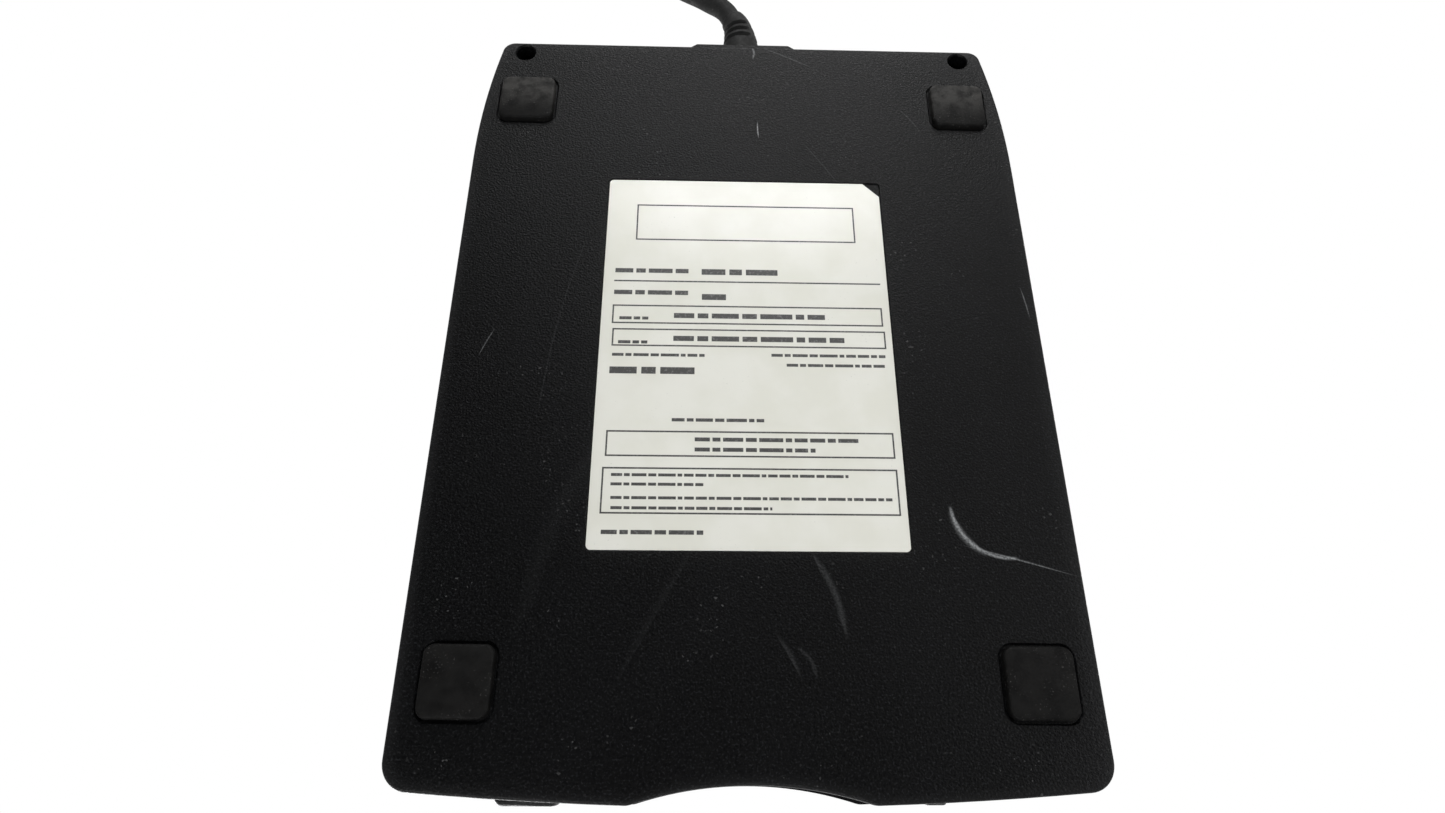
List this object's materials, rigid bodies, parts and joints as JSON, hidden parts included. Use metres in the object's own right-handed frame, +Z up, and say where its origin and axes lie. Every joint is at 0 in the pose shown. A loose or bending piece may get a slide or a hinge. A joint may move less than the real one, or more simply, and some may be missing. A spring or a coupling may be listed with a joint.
{
  "type": "external floppy drive",
  "caption": "Slim external floppy drive with a bowed front, dust door, eject button, working disk mechanism inside and a captive cable that ends in a plug.",
  "frame": {"origin": "under the middle of the drive, on the surface that its feet stand on", "axes": "+X to the right seen from the front, +Y from the front to the rear where the cable leaves, +Z up"},
  "size_m": [0.106, 0.2377, 0.0184],
  "materials": {
    "case_plastic": "fine grained matt moulding, slightly blue where lit",
    "foot_rubber": "soft matt pad with a fine sheen",
    "cable_rubber": "satin jacket",
    "label_film": null,
    "clear_plastic": "clear, polished",
    "led_plastic": "tinted, polished",
    "sheet_steel": "zinc plated sheet, faint rolling lines",
    "screw_steel": "black zinc, worn on the drive",
    "spring_steel": "drawn wire",
    "turned_steel": "ground and polished",
    "magnet": "moulded ferrite",
    "sintered_brass": "oiled, dull",
    "winding": "enamelled copper wire",
    "board_green": "solder mask",
    "chip_black": "moulded epoxy",
    "mechanism_black": "glass filled moulding",
    "head_ceramic": "lapped ceramic",
    "mechanism_ivory": "natural acetal",
    "motor_can": "drawn can",
    "capacitor_can": "bare can",
    "ribbon": "laminated flat cable",
    "plug_steel": "nickel plated"
  },
  "bodies": {
    "case": {"bottom_shell": "case_plastic", "top_shell": "case_plastic", "front_bezel": "case_plastic", "door_spring": "spring_steel", "eject_springs": "spring_steel", "led_light_pipe": "clear_plastic", "led": "led_plastic", "led_board": "board_green", "foot_front_left": "foot_rubber", "foot_front_right": "foot_rubber", "foot_rear_left": "foot_rubber", "foot_rear_right": "foot_rubber", "rating_label": "label_film", "case_screws": "screw_steel", "chassis": "sheet_steel", "chassis_screws": "turned_steel", "drive_cover": "sheet_steel", "cover_screws": "screw_steel", "spindle_bearing": "sintered_brass", "motor_board": "board_green", "stator_coils": "winding", "guide_rod": "turned_steel", "stepper_motor": "motor_can", "lever_spring": "spring_steel", "switch_block": "mechanism_black", "track_zero_sensor": "mechanism_black", "controller_board": "board_green", "board_chips": "chip_black", "board_crystal": "plug_steel", "board_connectors": "mechanism_ivory", "board_capacitors": "capacitor_can", "board_screws": "turned_steel", "flat_cable": "ribbon", "inner_lead": "cable_rubber", "strain_relief": "cable_rubber", "cord_lead": "cable_rubber", "cord_coil": "cable_rubber", "cord_tail": "cable_rubber", "cord_tie": "mechanism_black", "plug_body": "cable_rubber", "plug_shell": "plug_steel", "plug_tongue": "mechanism_ivory"},
    "eject": {"eject_plate": "sheet_steel", "eject_button": "case_plastic"},
    "cage": {"disk_holder": "sheet_steel"},
    "spindle": {"spindle_rotor": "sheet_steel", "rotor_magnet": "magnet", "spindle_shaft": "turned_steel"},
    "carriage": {"head_carriage": "mechanism_black", "lower_head": "head_ceramic"},
    "upper_arm": {"upper_head_arm": "mechanism_black", "upper_head": "head_ceramic"},
    "screw": {"lead_screw": "turned_steel"},
    "door": {"dust_door": "case_plastic"},
    "lever": {"shutter_lever": "mechanism_ivory"},
    "disk_in_plunger": {"plunger_disk_in": "mechanism_ivory"},
    "write_protect_plunger": {"plunger_write_protect": "mechanism_ivory"},
    "density_plunger": {"plunger_density": "mechanism_ivory"}
  },
  "joints": [
    {"name": "eject_slide", "type": "slide", "parent": "case", "child": "eject", "axis": [0, 1, 0], "range_m": [-0.005, 0], "deforming": ["eject_springs"]},
    {"name": "cage_lift", "type": "slide", "parent": "case", "child": "cage", "axis": [0, 0, 1], "range_m": [-0.0024, 0]},
    {"name": "spindle_spin", "type": "hinge", "parent": "case", "child": "spindle", "pos_m": [0, -0.0135, 0.0072], "axis": [0, 0, 1], "continuous": true},
    {"name": "head_travel", "type": "slide", "parent": "case", "child": "carriage", "axis": [0, -1, 0], "range_m": [0, 0.0148]},
    {"name": "lead_screw_turn", "type": "hinge", "parent": "case", "child": "screw", "pos_m": [0.0115, 0.039, 0.0092], "axis": [0, 1, 0], "range_deg": [0, 1777]},
    {"name": "upper_arm_load", "type": "hinge", "parent": "carriage", "child": "upper_arm", "pos_m": [0, 0.0485, 0.012], "axis": [1, 0, 0], "range_deg": [0, 11.35]},
    {"name": "dust_door_swing", "type": "hinge", "parent": "case", "child": "door", "pos_m": [0, -0.0661, 0.0153], "axis": [1, 0, 0], "range_deg": [0, 85], "stiffness_Nm_per_rad": 0.00005, "springref_deg": -20.05},
    {"name": "shutter_lever_swing", "type": "hinge", "parent": "case", "child": "lever", "pos_m": [-0.038, 0.033, 0.0067], "axis": [0, 0, 1], "range_deg": [0, 62], "stiffness_Nm_per_rad": 0.00005, "springref_deg": -22.92},
    {"name": "disk_in_press", "type": "slide", "parent": "case", "child": "disk_in_plunger", "axis": [0, 0, -1], "range_m": [0, 0.0012], "stiffness_N_per_m": 10, "springref_m": -0.0005},
    {"name": "write_protect_press", "type": "slide", "parent": "case", "child": "write_protect_plunger", "axis": [0, 0, -1], "range_m": [0, 0.0012], "stiffness_N_per_m": 10, "springref_m": -0.0005},
    {"name": "density_press", "type": "slide", "parent": "case", "child": "density_plunger", "axis": [0, 0, -1], "range_m": [0, 0.0012], "stiffness_N_per_m": 10, "springref_m": -0.0005}
  ],
  "couplings": [
    {"joint": "cage_lift", "follows": "eject_slide", "ratio": 0.48},
    {"joint": "upper_arm_load", "follows": "eject_slide", "rad_per_m": -39.444},
    {"joint": "lead_screw_turn", "follows": "head_travel", "rad_per_m": 2094.4}
  ]
}
